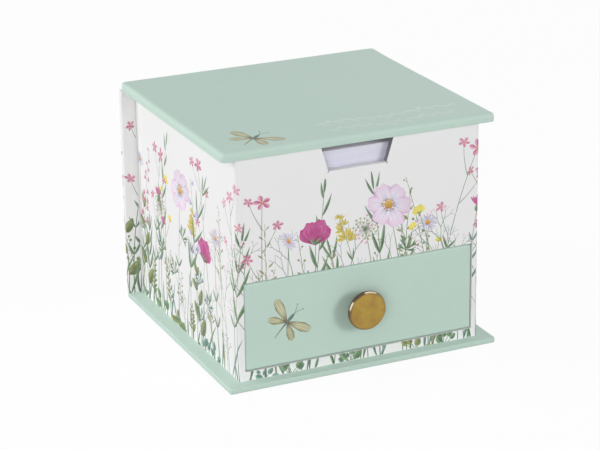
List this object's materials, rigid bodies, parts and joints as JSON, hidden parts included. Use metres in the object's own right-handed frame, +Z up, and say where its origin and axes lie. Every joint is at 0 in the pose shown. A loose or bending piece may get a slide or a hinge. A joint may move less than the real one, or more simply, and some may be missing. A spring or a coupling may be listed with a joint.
{
  "type": "memo pad holder with drawer",
  "caption": "Paper-covered board memo box: note compartment with thumb notch under a hinged lid, and a drawer with a round metal knob below.",
  "frame": {"origin": "centre of the base panel's underside", "axes": "+Z up, -Y towards the drawer front, +X to the right seen from the front"},
  "size_m": [0.1082, 0.108, 0.0898],
  "materials": {
    "greyboard": "raw greyboard",
    "green_paper": "matt sage green covering paper",
    "printed_paper": null,
    "lining_paper": "matt white lining paper",
    "memo_paper": "block of cut white sheets",
    "foam": "thin soft foam",
    "aged_brass": "aged, mottled brass",
    "steel": "zinc plated"
  },
  "bodies": {
    "box": {"base_board": "greyboard", "base_cover": "green_paper", "spine_board": "greyboard", "spine_cover": "printed_paper", "lid_joint": "green_paper", "left_wall": "greyboard", "right_wall": "greyboard", "back_wall": "greyboard", "front_wall": "greyboard", "floor_board": "greyboard", "shelf": "greyboard", "body_wrap": "printed_paper", "compartment_lining": "lining_paper", "memo_sheets": "memo_paper"},
    "lid": {"lid_board": "greyboard", "lid_padding": "foam", "lid_cover": "green_paper", "lid_lining": "lining_paper"},
    "drawer": {"drawer_front_board": "greyboard", "drawer_front_cover": "green_paper", "drawer_left_side": "greyboard", "drawer_right_side": "greyboard", "drawer_back": "greyboard", "drawer_bottom": "greyboard", "drawer_wrap": "green_paper", "drawer_lining": "lining_paper", "knob_head": "aged_brass", "knob_stem": "aged_brass", "knob_screw": "steel", "knob_washer": "steel"}
  },
  "joints": [
    {"name": "lid_hinge", "type": "hinge", "parent": "box", "child": "lid", "pos_m": [0, 0.05295, 0.086], "axis": [-1, 0, 0], "range_deg": [0, 200], "deforming": ["lid_joint"]},
    {"name": "drawer_slide", "type": "slide", "parent": "box", "child": "drawer", "axis": [0, -1, 0], "range_m": [0, 0.08]}
  ]
}
